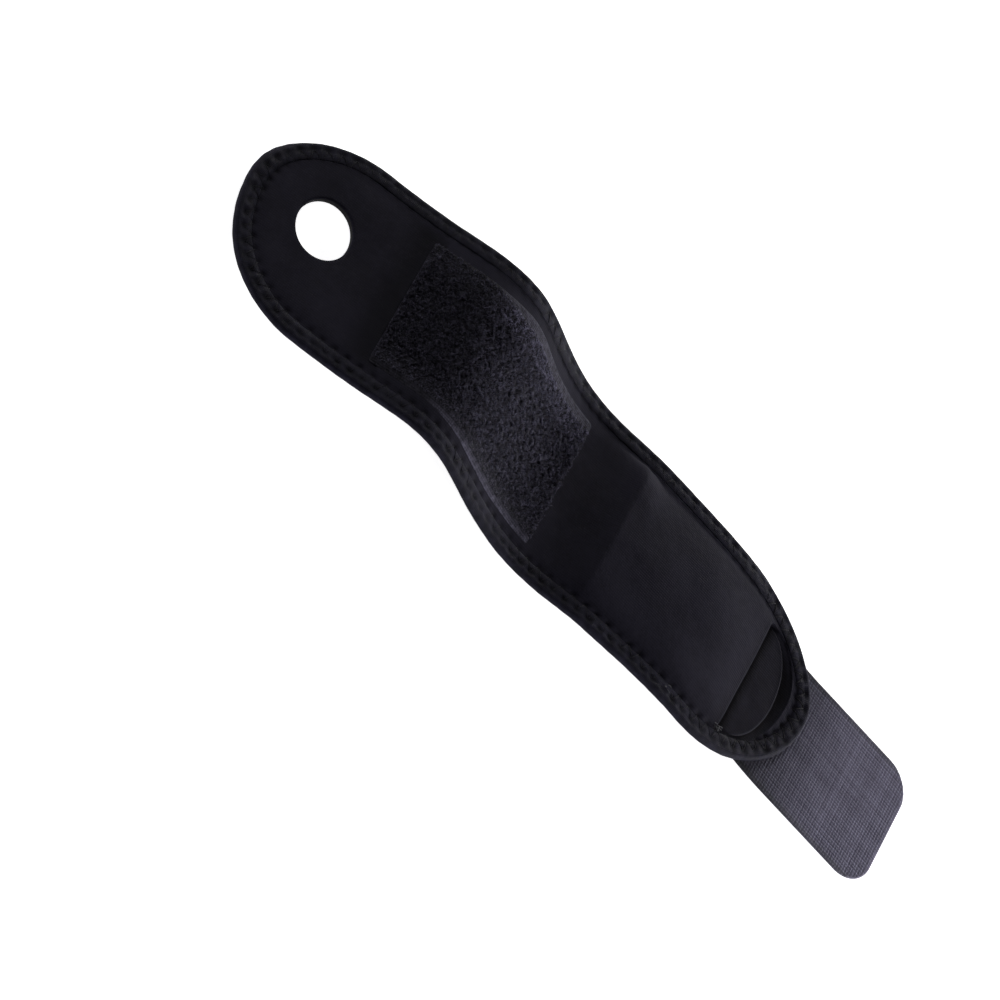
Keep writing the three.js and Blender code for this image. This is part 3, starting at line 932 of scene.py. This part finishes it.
def make_patch():
    half = PATCH["width"] / 2
    corner = BACKING["corner"]
    outline = Loop(plate_outline(PATCH["start"], PATCH["end"], PATCH["width"], corner, corner), step=0.8)
    flat, triangles = ringed_mesh(outline, PATCH, BACKING["rings"], step=0.8, spacing=1.5, clearance=0.9)
    along, across = flat.T
    near, far = half + across, half - across
    cut_end = np.minimum(along - PATCH["start"], PATCH["end"] - along)
    top = PATCH_BASE + np.interp(near, *NEAR_EDGE.T)
    top = top + np.interp(far, *FAR_EDGE.T) + np.interp(cut_end, *CUT_END.T)
    bottom = np.full(len(flat), PATCH_BASE - BACKING["sunk"])
    bare_near = near / SELVEDGE["near"] * SELVEDGE_SHADE["near"]
    bare = np.where(near < SELVEDGE["near"], bare_near, SELVEDGE_SHADE["far"])
    # Painted shade before the fold on both selvedges
    fold = np.where(near < half, SELVEDGE_SHADE["near_fold"], SELVEDGE_SHADE["far_fold"])
    fold = fold * before_fold(along, np.where(near < half, NEAR_FOLD_END, FOLD_SPAN[1]))
    selvedge = (near < SELVEDGE["near"]) | (far < SELVEDGE["far"])
    dent = np.where(selvedge, np.maximum(bare, fold), 0)
    marks = selvedge[triangles].sum(1) > 1
    placed = np.column_stack([along, sew(along, across)])
    return slab("patch_backing", placed, triangles, np.maximum(top, PATCH_BASE - BACKING["lowest"]), bottom,
                [materials["pile_base"], materials["selvedge"]], dent=dent,
                face_material=[marks.astype(int), 0, 1])


# Pile: loops in clumps, lower towards both selvedges; painted shade darkens it before the fold and by the
# near selvedge past it, and a painted highlight lightens its far side past the fold
PILE_LOOPS = 7000
LOOP = {"rings": 5, "sides": 3, "radius": 0.095, "root": 0.4, "widths": (0.4, 0.85), "spread": 0.35}
PILE = {"end_gap": 0.2, "far_cover": 0.85, "headroom": 0.5, "mean": 0.82, "clump": 0.16, "uneven": 0.15}
PILE_CLUMP = {"wavelength": 2.6, "waves": 9}
PILE_LOWER = {"far": (13, 26), "far_share": 0.55, "near": (-16, -26), "near_share": 0.65}
PILE_SHADE = {"all": 0.45, "before_fold": 0.18, "near": 0.2, "near_reach": (-18, -24)}
PILE_FAR_HIGHLIGHT = {"reach": (12, 23), "spread": 2.5}
LEAN = {"along": -0.15, "spread": 0.3}


def make_pile(name, count):
    along = rng.uniform(PATCH["start"] + PILE["end_gap"], PATCH["end"] - PILE["end_gap"], count)
    dark_share = before_fold(along)
    bare_far = SELVEDGE["far"] * (1 - PILE["far_cover"] * dark_share)
    covered = PATCH["width"] - SELVEDGE["near"] - bare_far
    across = SELVEDGE["near"] - PATCH["width"] / 2 + rng.uniform(0, 1, count) * covered
    clump = ripple(along, across, **PILE_CLUMP)
    uneven = rng.uniform(-PILE["uneven"], PILE["uneven"], count)
    tall = (PATCH_TOP - PATCH_BASE - PILE["headroom"]) * (PILE["mean"] + PILE["clump"] * clump + uneven)
    tall *= (1 - PILE_LOWER["far_share"] * smoothstep(*PILE_LOWER["far"], across)
             - PILE_LOWER["near_share"] * smoothstep(*PILE_LOWER["near"], across))
    direction = headings(rng.uniform(0, math.pi, count))
    width = rng.uniform(*LOOP["widths"], count)
    lean_along = rng.normal(LEAN["along"], LEAN["spread"], count)
    lean_across = rng.normal(0, LEAN["spread"], count)
    far_out = across + rng.normal(0, PILE_FAR_HIGHLIGHT["spread"], count)
    far_highlight = smoothstep(*PILE_FAR_HIGHLIGHT["reach"], far_out) * (1 - dark_share)
    angle = np.linspace(0, math.pi, LOOP["rings"])
    sweep = -np.cos(angle) * (1 + LOOP["spread"] * np.sin(angle))
    lift = np.sin(angle)
    reach = (direction * width[:, None] / 2)[:, None, :] * sweep[:, None]
    lean = (np.column_stack([lean_along, lean_across]) * tall[:, None])[:, None, :] * (lift ** 2)[:, None]
    flat = np.column_stack([along, across])[:, None, :] + reach + lean
    s, y = flat[:, :, 0], flat[:, :, 1]
    paths = np.stack([s, sew(s, y), PATCH_BASE + LOOP["root"] + tall[:, None] * lift], -1)
    # Painted shade before the fold and by the near selvedge, and a painted highlight on the far side, over a
    # plain darker tone
    dark = (PILE_SHADE["all"] + PILE_SHADE["before_fold"] * dark_share) * (1 - far_highlight)
    dark += PILE_SHADE["near"] * smoothstep(*PILE_SHADE["near_reach"], across) * (1 - dark_share)
    return tubes(name, paths, square_to(direction), LOOP["radius"], LOOP["sides"], materials["pile"], dark)


# End pad: a small D cushion with a rolled rim, dipping towards the cross seam
PAD_RIM = np.array([(0, -0.75), (0.15, -0.35), (0.4, -0.1), (0.75, 0.06), (1.2, 0.0), (1.8, -0.04)])
PAD_RIM_START = (1, 5)
PAD_RINGS = (0.15, 0.4, 0.75, 1.1, 1.5, 2.0, 2.8)
PAD_FORM = {"top": 0.8, "thinnest": 0.2, "off_floor": 0.08, "waves": 0.03, "wavelength": 9}
PAD_GROOVES = ({"depth": 0.5, "reach": (0.1, 1.8)}, {"depth": 0.3, "reach": (1.2, 4.2)})
PAD_RISE = {"height": 0.5, "reach": (2, PAD["end"] - PAD["start"] - 1.5)}
PAD_SHADE = {"share": 1.5, "reach": (0.5, 4.3)}


def make_pad():
    outline = Loop(end_outline(PAD["start"], PAD["end"], PAD["width"]), step=0.5)
    flat, triangles = ringed_mesh(outline, PAD, PAD_RINGS, step=0.5, spacing=1.0, clearance=0.7)
    along, across = flat.T
    past_seam = along - PAD["start"]
    rounded = np.interp(outline.measure(flat)[0], *PAD_RIM.T) * smoothstep(*PAD_RIM_START, past_seam)
    top = PAD_FORM["top"] + PAD_RISE["height"] * smoothstep(*PAD_RISE["reach"], past_seam) + rounded
    for groove in PAD_GROOVES:
        top = top - groove["depth"] * (1 - smoothstep(*groove["reach"], past_seam))
    top = top + PAD_FORM["waves"] * ripple(along, across, PAD_FORM["wavelength"])
    bottom = np.minimum(RECESS_FLOOR + PAD_FORM["off_floor"], top - PAD_FORM["thinnest"])
    # Painted shade: the pad's colour darkens in the groove by the cross seam
    dent = PAD_SHADE["share"] * (1 - smoothstep(*PAD_SHADE["reach"], past_seam))
    return slab("end_pad_skin", flat, triangles, top, bottom, [materials["pad"]], dent=dent)


# Hook tab: a woven tape with rows of small hooks below
TAPE_BOTTOM = -2.7
TAPE_EDGE = np.array([(0, -0.3), (0.15, -0.1), (0.4, 0)])
TAPE = {"root_corner": 1.5, "step": 0.4, "rings": (0.15, 0.4), "first": 0.6, "last": 0.5, "inset": 0.62}
POINTS_PER_YARN = 5
UNDER_STEP = 2.0
tab_outline = Loop(
    plate_outline(TAB["start"], STRAP_LENGTH, TAB["width"], TAPE["root_corner"], TAB["corner"]),
    step=TAPE["step"])


def tab_centre(along):
    share = (along - TAB["start"]) / (STRAP_LENGTH - TAB["start"])
    return TAB["root_across"] + (TAB["end_across"] - TAB["root_across"]) * share


# Plain weave: yarns that take turns on top, each one arched where it passes over
def weave_relief(s, y):
    column, row = s / WEAVE["along"], y / WEAVE["across"]
    crown_s = np.sin(math.pi * (column % 1))
    crown_y = np.sin(math.pi * (row % 1))
    over = (np.floor(column) + np.floor(row)) % 2 == 0
    return np.where(over, np.sqrt(crown_s) * crown_y, crown_s * np.sqrt(crown_y))


def tape_face(step_s, step_y):
    half = TAB["width"] / 2
    rings = [Loop(tab_outline.inset(inset), step=TAPE["step"]).points for inset in TAPE["rings"]]
    columns = np.arange(TAB["start"] + TAPE["first"], STRAP_LENGTH - TAPE["last"], step_s)
    rows = np.arange(-half + TAPE["first"], half - TAPE["last"], step_y)
    grid = np.array(np.meshgrid(columns, rows)).reshape(2, -1).T
    grid = grid[tab_outline.measure(grid)[0] > TAPE["inset"]]
    flat, triangles = fill(tab_outline, np.vstack([*rings, grid]))
    return flat, triangles, np.interp(tab_outline.measure(flat)[0], *TAPE_EDGE.T)


def make_tab():
    upper, upper_faces, upper_edge = tape_face(
        WEAVE["along"] / POINTS_PER_YARN, WEAVE["across"] / POINTS_PER_YARN)
    lower, lower_faces, lower_edge = tape_face(UNDER_STEP, UNDER_STEP)
    top = TAB_TOP - WEAVE["height"] + WEAVE["height"] * weave_relief(*upper.T) + upper_edge
    flat = np.vstack([upper, lower])
    placed = np.column_stack([flat[:, 0], flat[:, 1] + tab_centre(flat[:, 0])])
    points = np.column_stack([placed, np.concatenate([top, TAPE_BOTTOM - lower_edge])])
    first = np.arange(tab_outline.count)
    after = np.roll(first, -1)
    walls = np.column_stack([first + len(upper), after + len(upper), after, first])
    faces = [upper_faces, lower_faces[:, ::-1] + len(upper), walls]
    return mesh_object("hook_tab_skin", bend(points), faces, flat, [materials["tape"]], sharp=60)


# Hooks: their path out and down from the tape, and their spacing
HOOK_PATH = np.array([(0, 0), (0, 0.45), (0.03, 0.75), (0.14, 0.98), (0.34, 1.06), (0.52, 0.98), (0.6, 0.8)])
HOOK_ROWS = {"along": 1.9, "across": 1.75, "first": 2, "last": 1.5, "side_gap": 2.2, "edge_gap": 1.2}
HOOK = {"root": 0.08, "radius": 0.1, "sides": 4, "turn_spread": 0.15}


def make_hooks():
    half = TAB["width"] / 2 - HOOK_ROWS["side_gap"]
    along = np.arange(TAB["start"] + HOOK_ROWS["first"], STRAP_LENGTH - HOOK_ROWS["last"], HOOK_ROWS["along"])
    across = np.arange(-half, half, HOOK_ROWS["across"])
    roots = np.array(np.meshgrid(along, across)).reshape(2, -1).T
    roots[:, 0] += 0.5 * HOOK_ROWS["along"] * (np.round(roots[:, 1] / HOOK_ROWS["across"]) % 2)
    roots = roots[tab_outline.measure(roots)[0] > HOOK_ROWS["edge_gap"]]
    count = len(roots)
    direction = headings(rng.choice([0, math.pi], count) + rng.normal(0, HOOK["turn_spread"], count))
    placed = np.column_stack([roots[:, 0], roots[:, 1] + tab_centre(roots[:, 0])])
    out, down = HOOK_PATH.T
    flat = placed[:, None, :] + direction[:, None, :] * out[:, None]
    paths = raised(flat, TAPE_BOTTOM + HOOK["root"] - down)
    return tubes("tab_hooks", paths, square_to(direction), HOOK["radius"], HOOK["sides"], materials["hooks"])


# Loose thread ends at the near end of the cross seam and at one stitch of the near edge: place and count
TUFTS = np.array([(226.4, -23.4, 7), (203.6, -29.6, 3)])
TUFT = {"rings": 8, "spread": 0.4, "heading": 0.15, "lengths": (1.4, 2.8), "radius": 0.14, "sides": 4}
TUFT_ARCH = {"root": 1.0, "rise": 0.7, "half_turns": 0.8}


def make_tuft():
    roots = np.repeat(TUFTS[:, :2], TUFTS[:, 2].astype(int), 0)
    count = len(roots)
    roots = roots + rng.normal(0, TUFT["spread"], roots.shape)
    direction = headings(rng.normal(TUFT["heading"], TUFT["spread"], count))
    length = rng.uniform(*TUFT["lengths"], count)
    curl = rng.normal(0, TUFT["spread"], count)
    share = np.linspace(0, 1, TUFT["rings"])
    flat = roots[:, None, :] + (direction * length[:, None])[:, None, :] * share[:, None]
    flat[:, :, 1] += curl[:, None] * share ** 2
    arch = np.sin(share * math.pi * TUFT_ARCH["half_turns"])
    paths = raised(flat, TUFT_ARCH["root"] + TUFT_ARCH["rise"] * arch)
    return tubes("seam_thread_ends", paths, square_to(direction), TUFT["radius"], TUFT["sides"],
                 materials["tuft"])


body = make_body()
binding_skin = make_binding()
binding_thread = make_threads()
patch_backing = make_patch()
piles = [make_pile("patch_pile_%d" % turn, PILE_LOOPS) for turn in (1, 2)]
end_pad = make_pad()
hook_tab = make_tab()
tab_hooks = make_hooks()
tuft = make_tuft()

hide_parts("body")
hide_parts("edge_binding")
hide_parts("loop_patch")
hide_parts("end_pad")
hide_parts("hook_tab")
SLOTS = {
    "neoprene_jersey": [body, tuft],
    "binding_tape": [binding_skin, binding_thread],
    "loop_pile": [patch_backing, *piles],
    "pad_jersey": [end_pad],
    "hook_tape": [hook_tab, tab_hooks],
}
for slot, pieces in SLOTS.items():
    for piece in pieces:
        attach(piece, "root")

# Floor
FLOOR_HALF = 9
FLOOR_GLOW = 0.92
corners = [(x * FLOOR_HALF, y * FLOOR_HALF, 0) for x, y in ((-1, -1), (1, -1), (1, 1), (-1, 1))]
floor_mesh = bpy.data.meshes.new("floor")
floor_mesh.from_pydata(corners, [], [(0, 1, 2, 3)])
floor = add_object("floor", floor_mesh)
paper = Nodes("floor")
paper_tone = paper.ramp(paper.noise(3, 2), [(0.3, (0.9, 0.9, 0.9)), (0.7, (0.93, 0.93, 0.93))])
floor_mesh.materials.append(paper.finish(paper_tone, paper.span(paper.noise(40), 0.75, 0.85), specular=0.2))
paper.feed(paper.shader, {"Emission Color": (1, 1, 1, 1), "Emission Strength": FLOOR_GLOW})

# Soft suns beyond both ends and at the far side: name, azimuth, elevation and strength
LIGHTS = [
    ("key_far", 22, 4, 2.35),
    ("key", 0, 5.5, 1.6),
    ("key_near", -22, 12.5, 2.55),
    ("side", 70, 4, 1.25),
    ("top", 95, 30, 1.55),
    ("fill", 165, 9, 1.13),
]
SUN_SPREAD = math.radians(14)
SUN_DISTANCE = 2
SKY_GLOW = 0.02
world = bpy.data.worlds.new("studio")
world.use_nodes = True
sky = world.node_tree.nodes["Background"]
sky.inputs["Color"].default_value = (1, 1, 1, 1)
sky.inputs["Strength"].default_value = SKY_GLOW
bpy.context.scene.world = world
for name, azimuth, elevation, strength in LIGHTS:
    lamp = bpy.data.lights.new(name, "SUN")
    lamp.energy = strength
    lamp.angle = SUN_SPREAD
    holder = add_object(name, lamp)
    azimuth, elevation = math.radians(azimuth), math.radians(elevation)
    level = math.cos(elevation)
    towards = Vector((math.cos(azimuth) * level, math.sin(azimuth) * level, math.sin(elevation)))
    holder.rotation_mode = "QUATERNION"
    holder.rotation_quaternion = towards.to_track_quat("Z", "Y")
    holder.location = towards * SUN_DISTANCE

# Camera at the photograph's angle, its frame set by the picture's pixels to a millimetre
RIGHT = Vector((0.66286, 0.37707, 0.64687))
UP = Vector((-0.67537, 0.67410, 0.29912))
BACK = RIGHT.cross(UP)
DISTANCE = 3.3
SENSOR = 36
FRAME_PIXELS = 1000
PIXELS_PER_MM = 3.294
OFFSET = [pixels / PIXELS_PER_MM * MM for pixels in (-65.91, 14.6)]
camera_data = bpy.data.cameras.new("camera")
camera_data.sensor_width = SENSOR
camera_data.lens = SENSOR * DISTANCE / (FRAME_PIXELS / PIXELS_PER_MM * MM)
camera = add_object("camera", camera_data)
turn = Matrix((RIGHT, UP, BACK)).transposed().to_4x4()
place = BACK * DISTANCE + RIGHT * OFFSET[0] + UP * OFFSET[1]
camera.matrix_world = Matrix.Translation(place) @ turn
bpy.context.scene.camera = camera
bpy.context.scene.view_settings.view_transform = "Standard"
